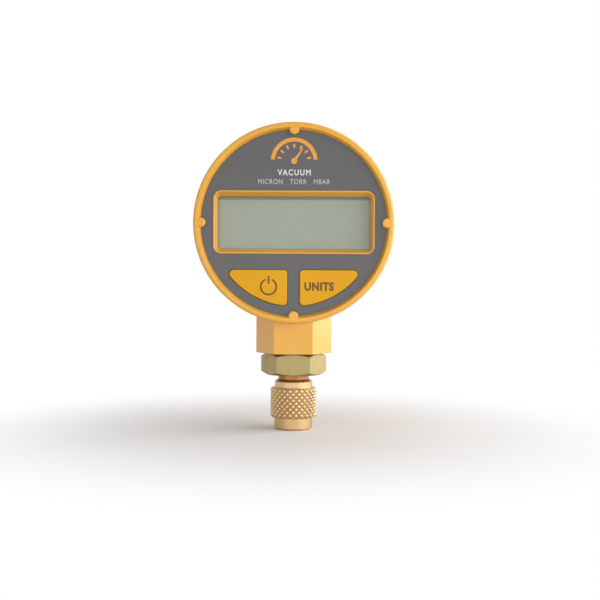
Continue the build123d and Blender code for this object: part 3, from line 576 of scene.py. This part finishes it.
# %% Kinds of finish
def speckled(name, main, second, size, rough, depth, metallic):
    """Two colours in spots of a size, with the same spots in the roughness and the normal."""
    finish = Finish(name, Metallic=metallic)
    spots = finish.noise(size, 3.0, 0.6)
    broad = finish.noise(size * 12, 2.0, 0.5)
    return finish.paint(
        Base_Color=finish.mix(main, second, finish.step(0.5 * (spots + broad), 0.35, 0.65)),
        Roughness=rough + 0.15 * (spots - 0.5) + 0.10 * (broad - 0.5),
        Normal=finish.bump(spots, depth, 0.6),
    )


def striped(name, main, second, period, rough, share):
    """Stripes across X: a zigzag wave, cut where the second colour's share of it ends."""
    finish = Finish(name)
    wave = finish.sum("PINGPONG", finish.axes()[0], period / 2)
    edge = period / 2 * share
    line = 1 - finish.step(wave, edge - 0.02, edge + 0.02)
    spots = finish.noise(0.4, 3.0, 0.6)
    return finish.paint(
        Base_Color=finish.mix(main, second, line),
        Roughness=rough + 0.1 * spots,
        Normal=finish.bump(line, 0.02, 0.5),
    )


def printed_board():
    """Green lacquer over copper: tracks by a zigzag wave across X, or up Z where a cell says."""
    finish = Finish("board_green", Coat_Weight=0.5, Coat_Roughness=0.15)
    across, _, up = finish.axes()
    waves = [finish.sum("PINGPONG", axis, 0.635) for axis in (across, up)]
    sockets = {"Vector": finish.place(), "Scale": 1 / (5.0 * MM)}
    cells = finish.node("ShaderNodeTexVoronoi", {"feature": "F1"}, sockets, output=1)
    pick = finish.step(finish.node("ShaderNodeSeparateColor", {}, {0: cells}), 0.48, 0.52)
    wave = waves[0] * pick + waves[1] * (1 - pick)
    track = 1 - finish.step(wave, 0.12, 0.18)
    spots = finish.noise(0.3, 3.0, 0.6)
    lacquer = finish.mix(colour(22, 92, 52), colour(28, 104, 60), spots)
    return finish.paint(
        Base_Color=finish.mix(lacquer, colour(58, 140, 78), track),
        Roughness=0.28 + 0.12 * spots,
        Normal=finish.bump(track, 0.03, 0.6),
    )


rubber_pair = colour(200, 178, 186), colour(38, 36, 38)
ribbon_pair = colour(182, 182, 184), colour(150, 150, 153)
finishes = {
    "case_yellow": case_yellow,
    "key_yellow": key_yellow,
    "face_grey": face_grey,
    "clear_window": clear_window,
    "lcd_glass": lcd_glass,
    "bare_brass": plain_brass,
    "board_green": printed_board(),
    "strip_rubber": striped("strip_rubber", *rubber_pair, 0.2, 0.6, share=0.5),
    "ribbon_grey": striped("ribbon_grey", *ribbon_pair, 1.27, 0.5, share=0.25),
}
print("finishes so far", sorted(finishes))

# %% One finish for each slot
# Each row is the main colour, the second, the spots' size, the roughness, the spots' depth
plain_rows = {
    "reflector_white": ((226, 228, 224), (214, 217, 212), 0.5, 0.5, 0.01),
    "holder_black": ((34, 34, 36), (44, 44, 46), 0.4, 0.5, 0.01),
    "chip_black": ((30, 30, 32), (42, 42, 44), 0.15, 0.55, 0.02),
    "capacitor_case": ((34, 48, 96), (42, 58, 112), 1.5, 0.3, 0.01),
    "plug_white": ((226, 221, 206), (216, 210, 194), 0.5, 0.45, 0.01),
    "switch_black": ((40, 40, 42), (52, 52, 54), 0.4, 0.45, 0.01),
    "seal_rubber": ((28, 28, 29), (40, 40, 41), 0.25, 0.7, 0.02),
    "battery_case": ((50, 56, 62), (64, 70, 76), 2.0, 0.3, 0.01),
    "snap_black": ((30, 29, 29), (44, 43, 42), 0.5, 0.5, 0.03),
    "lead_red": ((176, 32, 28), (158, 26, 24), 0.8, 0.42, 0.01),
    "lead_black": ((26, 26, 27), (38, 38, 39), 0.8, 0.42, 0.01),
    "foam_grey": ((96, 97, 99), (70, 71, 73), 0.35, 0.9, 0.12),
    "bead_glass": ((60, 34, 30), (84, 46, 38), 0.2, 0.12, 0.004),
}
metal_rows = {
    "tin_metal": ((198, 198, 196), (180, 180, 178), 0.6, 0.28, 0.006),
    "screw_steel": ((186, 184, 178), (164, 162, 156), 0.4, 0.3, 0.008),
    "header_steel": ((196, 188, 170), (178, 170, 152), 0.4, 0.26, 0.005),
}
for rows, metallic in ((plain_rows, 0.0), (metal_rows, 1.0)):
    for name, (main, second, size, rough, depth) in rows.items():
        pair = colour(*main), colour(*second)
        finishes[name] = speckled(name, *pair, size, rough, depth, metallic)

own_finish = {"brass_fitting": stem_brass, "swivel_nut": nut_brass}
slots = {part["node"]: part["material_slot"] for part in frame["record"]["subparts"]}
for name, solid in nodes.items():
    material = own_finish.get(name) or finishes[slots[name]]
    for place in range(len(solid.material_slots)):
        solid.material_slots[place].material = material
print("finishes", len(finishes), "on", len(nodes), "nodes")

# %% [markdown]
# ## Surfaces from arrays
#
# Each new piece is a sheet of points: a formula gives the place of every point from two
# numbers, numpy works it out for the whole sheet at once, and the faces join each point to
# its neighbours. A loop that adds point after point would make the same mesh, but slowly,
# and it would hide the formula. Where the sheet closes on itself, the last row is joined
# to the first.


# %% Grid to mesh
def put_on(name, mesh, material, body):
    """A mesh as a piece of the gauge with one finish, riding on a body."""
    mesh.materials.clear()
    mesh.materials.append(material)
    made = bpy.data.objects.new(name, mesh)
    scene.collection.objects.link(made)
    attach(made, body)
    return made


def add_piece(name, points, faces, material, body):
    """A piece from arrays of points in millimetres and of faces."""
    mesh = bpy.data.meshes.new(name)
    mesh.from_pydata((points * MM).tolist(), [], faces)
    mesh.validate()
    return put_on(name, mesh, material, body)


def grid_faces(rows, columns, close_rows=False, close_columns=False):
    """Four-sided faces that join a rows by columns sheet of points, numbered row by row."""
    row = np.arange(rows if close_rows else rows - 1)[:, None]
    column = np.arange(columns if close_columns else columns - 1)[None, :]
    next_row = (row + 1) % rows
    next_column = (column + 1) % columns
    corners = [
        row * columns + column,
        row * columns + next_column,
        next_row * columns + next_column,
        next_row * columns + column,
    ]
    return np.stack(corners, axis=-1).reshape(-1, 4).tolist()


print("a closed ring of 6 by 4 points has", len(grid_faces(6, 4, True, True)), "faces")

# %% [markdown]
# ## The swivel nut
#
# The nut is turned from round bar, and a knurling wheel rolls two crossing sets of
# grooves into it, so that pyramids with slightly rubbed tops stand between them. A bump
# map would leave its outline smooth, so the pyramids are real: the radius at each point
# comes from how far it is from the nearest groove of either set. Inside runs the screw
# thread that fits the valve's port, one groove that climbs one pitch with each turn.
# The whole nut is one sheet, round the axis one way and along its section the other.

# %% Knurl and thread
STARTS = 24
RISES = 5
THREAD_R = 4.95
THREAD_TOP = 8.6
THREAD_DEPTH = 0.6
THREAD_START = 0.2
LEAD_IN = 1.2
LEAD_OUT = 0.8
PITCH = 1.27


def pyramids(angle, height):
    """0 in a groove and 1 on a pyramid's top.

    The distance, in pitches, to the nearest groove of each of the two crossing sets, the
    smaller of them, raised steeply and cut flat at 1.
    """
    rise = (height - KNURL_LOW) * RISES / (KNURL_HIGH - KNURL_LOW)
    turns = STARTS * angle / (2 * np.pi)
    left = np.abs(np.mod(turns + rise, 1) - 0.5)
    right = np.abs(np.mod(turns - rise, 1) - 0.5)
    return np.minimum(1.0, 4.2 * np.minimum(left, right))


def helix_groove(angle, height):
    """0 on the thread's crest and 1 in its root: a flattened triangle wave of height less turn."""
    phase = np.mod(height / PITCH - angle / (2 * np.pi), 1)
    return np.clip(2.6 * np.abs(phase - 0.5) - 0.15, 0, 1)


print("thread of", round(THREAD_TOP / PITCH, 1), "turns, knurl of", STARTS, "pyramids round")

# %% The nut's section
NUT_TOP = 19.3
LOW_COLLAR_R = 7.5
HIGH_COLLAR_R = 7.4
BORE_R = 4.4
RELIEF_R = 5.7
EDGE = 0.6
TOP_EDGE = 0.7

# Corners as (radius, height) in millimetres, up the outside and down the inside
low_collar = [
    (6.0, 0.0),
    (LOW_COLLAR_R - EDGE, 0.0),
    (LOW_COLLAR_R, EDGE),
    (LOW_COLLAR_R, KNURL_LOW),
]
knurl = [
    (KNURL_R - EDGE, KNURL_LOW),
    (KNURL_R, KNURL_LOW + EDGE),
    (KNURL_R, KNURL_HIGH - EDGE),
    (KNURL_R - EDGE, KNURL_HIGH),
]
high_collar = [
    (HIGH_COLLAR_R, KNURL_HIGH),
    (HIGH_COLLAR_R, NUT_TOP - TOP_EDGE),
    (HIGH_COLLAR_R - TOP_EDGE, NUT_TOP),
    (BORE_R + 0.2, NUT_TOP),
    (BORE_R, NUT_TOP - 0.2),
    (BORE_R, 11.5),
]
inside = [
    (4.6, 11.2),
    (RELIEF_R - 0.4, 11.2),
    (RELIEF_R, 10.8),
    (RELIEF_R, 9.0),
    (THREAD_R, THREAD_TOP),
    (THREAD_R, 0.6),
    (THREAD_R + 0.4, 0.0),
]


def fill(points, counts):
    """Points spaced evenly along each leg of a line of corners, so many to a leg."""
    corners = np.array(points)
    legs = [
        corners[i] + (corners[i + 1] - corners[i]) * (np.arange(count) / count)[:, None]
        for i, count in enumerate(counts)
    ]
    return np.vstack([*legs, corners[-1:]])


section = np.vstack([
    fill(low_collar, (3, 3, 6)),
    fill(knurl, (3, 54, 3)),
    fill(high_collar, (3, 3, 3, 2, 4)),
    fill(inside, (2, 2, 3, 2, 76, 2)),
])
print("section of", len(section), "points")

# %% The nut
SHARP_ANGLE = math.radians(24)
around = np.linspace(0, 2 * np.pi, STARTS * 12, endpoint=False)
angle, height = np.meshgrid(around, section[:, 1], indexing="ij")
radius = np.broadcast_to(section[:, 0], angle.shape).copy()

on_knurl = radius > LOW_COLLAR_R + 0.1
cut = KNURL_R - GROOVE * (1 - pyramids(angle, height))
radius = np.where(on_knurl, np.minimum(radius, cut), radius)

on_thread = (radius < THREAD_R + 0.05) & (height < THREAD_TOP + 0.01)
fade_in = (height - THREAD_START) / LEAD_IN
fade_out = (THREAD_TOP - height) / LEAD_OUT
depth = THREAD_DEPTH * np.clip(np.minimum(fade_in, fade_out), 0, 1)
radius = np.where(on_thread, radius + depth * helix_groove(angle, height), radius)

nut_points = np.stack([radius * np.cos(angle), radius * np.sin(angle), height], axis=-1)
nut_points = nut_points.reshape(-1, 3)
nut_faces = grid_faces(len(around), len(section), close_rows=True, close_columns=True)
nut = add_piece("knurled_nut", nut_points, nut_faces, nut_brass, "nut")
nut.data.polygons.foreach_set("use_smooth", [True] * len(nut.data.polygons))
nut.data.set_sharp_from_angle(angle=SHARP_ANGLE)
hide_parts("swivel_nut")
print("nut", len(nut_faces), "faces, radius", round(radius.min(), 2), "to", round(radius.max(), 2))

# %% [markdown]
# ## Print on the face and the keys
#
# Pad-printed ink stands a few hundredths of a millimetre proud. The signs are bands along
# a line: a ring with a gap and a bar for the power key, and a little dial with ticks and a
# needle above the display. They could be symbols of a font, but a band is one profile
# carried along a path, so one function makes the arcs, the strokes and the needle that
# narrows. Words are flat text, made into a mesh before it is put in place.

# %% Ink
INK = 0.04
SUNK = 0.02


def ink(name, main, second):
    """Printed ink: even colour with fine unevenness where the screen's mesh left it."""
    finish = Finish(name)
    mesh_marks = finish.noise(0.18, 3.0, 0.6)
    broad = finish.noise(3.0, 2.0, 0.5)
    return finish.paint(
        Base_Color=finish.mix(main, second, 0.6 * mesh_marks + 0.4 * broad),
        Roughness=0.45 + 0.15 * mesh_marks,
        Normal=finish.bump(mesh_marks, 0.004, 0.5),
    )


brown_ink = ink("brown_ink", colour(98, 64, 26), colour(110, 74, 34))
white_ink = ink("white_ink", colour(226, 224, 222), colour(214, 212, 210))
pale_ink = ink("pale_ink", colour(196, 194, 193), colour(184, 182, 181))
orange_ink = ink("orange_ink", colour(236, 162, 64), colour(228, 153, 55))
print("ink stands", INK, "mm proud and reaches", SUNK, "mm in")

# %% Bands
STROKE_POINTS = 6


def arc(radius, start, end, count=48):
    """Points along a circle, with angles in degrees anticlockwise from the right."""
    turn = np.radians(np.linspace(start, end, count))
    return np.stack([radius * np.cos(turn), radius * np.sin(turn)], axis=-1)


def stroke(start, end):
    """Points along a straight line."""
    share = np.linspace(0, 1, STROKE_POINTS)[:, None]
    return np.array(start) * (1 - share) + np.array(end) * share


def band(path, widths):
    """The four corners of a band of ink at each of the (x, z) points of a line.

    The edges lie half a width to each side of the line, as the line's own left-hand normal
    gives them, once in front of the surface and once behind it.
    """
    step = np.gradient(path, axis=0)
    normal = np.stack([-step[:, 1], step[:, 0]], axis=-1)
    normal /= np.linalg.norm(normal, axis=1)[:, None]
    half = np.broadcast_to(widths, len(path))[:, None] / 2
    left = path + normal * half
    right = path - normal * half
    edges = np.stack([left, right, right, left], axis=1)
    depth = np.broadcast_to([-INK, -INK, SUNK, SUNK], (len(path), 4))
    return np.stack([edges[..., 0], depth, edges[..., 1]], axis=-1)


def outward(piece):
    """Turns a closed piece's faces to point out of it."""
    shape = bmesh.new()
    shape.from_mesh(piece.data)
    bmesh.ops.recalc_face_normals(shape, faces=shape.faces)
    shape.to_mesh(piece.data)
    shape.free()


def print_band(name, path, widths, centre, material, body, slot):
    """A closed band of ink in place: its four-cornered section along the path, and two ends."""
    points = band(path, widths).reshape(-1, 3) + np.array(centre)
    faces = grid_faces(len(path), 4, close_columns=True)
    last = len(points)
    faces += [[3, 2, 1, 0], [last - 4, last - 3, last - 2, last - 1]]
    outward(add_piece(name, points, faces, material, body))


def on_face(x, z, y=SHEET_Y):
    """A place on the face, in millimetres from the ring's centre."""
    return (FACE_X + x, y, FACE_Z + z)


print("a quarter circle has", len(arc(1.0, 0, 90)), "points")

# %% Power sign
power_at = on_face(-9.4, -24.2, KEY_Y)
power_key = (power_at, brown_ink, "power_button", "key_yellow")
print_band("power_sign_ring", arc(2.95, 114, 426), 0.64, *power_key)
print_band("power_sign_bar", stroke((0, 1.2), (0, 4.05)), 0.68, *power_key)
print("power sign at", [round(v, 1) for v in power_at])

# %% Dial sign
DIAL_R = 8.1
TICK_FROM = 5.0
TICK_TO = 6.5
NEEDLE_TO = 5.9
NEEDLE_TURN = math.radians(56)
HUB_R = 1.15
dial_at = on_face(0.0, 23.4)


def dial_band(name, path, widths):
    """One band of the orange dial sign."""
    print_band("dial_sign_" + name, path, widths, dial_at, orange_ink, "gauge", "face_grey")


dial_band("arc", arc(DIAL_R, 4, 176, 72), 1.5)
for tick, turn in enumerate(np.radians(np.linspace(12, 168, 7))):
    heading = np.array((math.cos(turn), math.sin(turn)))
    dial_band(f"tick_{tick}", stroke(heading * TICK_FROM, heading * TICK_TO), 0.75)
needle = np.array((math.cos(NEEDLE_TURN), math.sin(NEEDLE_TURN)))
narrowing = np.linspace(1.0, 0.35, STROKE_POINTS)
dial_band("needle", stroke(needle * HUB_R, needle * NEEDLE_TO), narrowing)
# The hub is a band from side to side, as wide at each point as a circle is high there
disc = np.linspace(-0.999, 0.999, 41)
hub = np.stack([HUB_R * disc, 0 * disc], axis=-1)
dial_band("hub", hub, 2 * HUB_R * np.sqrt(1 - disc ** 2))


# %% Words
def print_word(name, text, centre, material, body, slot, width, height, weight, spread):
    """A word as flat text, stretched to a width and height and laid on a surface.

    Weight thickens its strokes and spread moves its letters apart. Each point's share of
    the text's own width, height and thickness is multiplied by the wanted ones.
    """
    curve = bpy.data.curves.new(name, "FONT")
    curve.body = text
    curve.resolution_u = 6
    curve.bevel_depth = weight
    curve.bevel_resolution = 0
    curve.space_character = spread
    curve.extrude = 0.04
    draft = bpy.data.objects.new(name + "_draft", curve)
    scene.collection.objects.link(draft)
    bpy.context.view_layer.update()
    finished = draft.evaluated_get(bpy.context.evaluated_depsgraph_get())
    mesh = bpy.data.meshes.new_from_object(finished)
    bpy.data.objects.remove(draft)

    flat = np.empty(len(mesh.vertices) * 3)
    mesh.vertices.foreach_get("co", flat)
    flat = flat.reshape(-1, 3)
    low, high = flat.min(axis=0), flat.max(axis=0)
    share = (flat - low) / (high - low)
    across = (share[:, 0] - 0.5) * width
    depth = (1 - share[:, 2]) * (INK + SUNK) - INK
    up = (share[:, 1] - 0.5) * height
    placed = np.stack([across, depth, up], axis=-1)
    mesh.vertices.foreach_set("co", ((placed + np.array(centre)) * MM).ravel())
    mesh.name = name
    put_on(name, mesh, material, body)


units_key = (on_face(9.75, -24.0, KEY_Y), brown_ink, "units_button", "key_yellow")
title = (on_face(0, 19.1), white_ink, "gauge", "face_grey")
scales = (on_face(0, 15.6), pale_ink, "gauge", "face_grey")
print_word("units_word", "UNITS", *units_key, width=11.15, height=3.3, weight=0.045, spread=1.12)
print_word("vacuum_word", "VACUUM", *title, width=12.6, height=2.3, weight=0.03, spread=1.24)
print_word(
    "scales_word",
    "MICRON   TORR   MBAR",
    *scales,
    width=27.3,
    height=1.95,
    weight=0.01,
    spread=1.16,
)
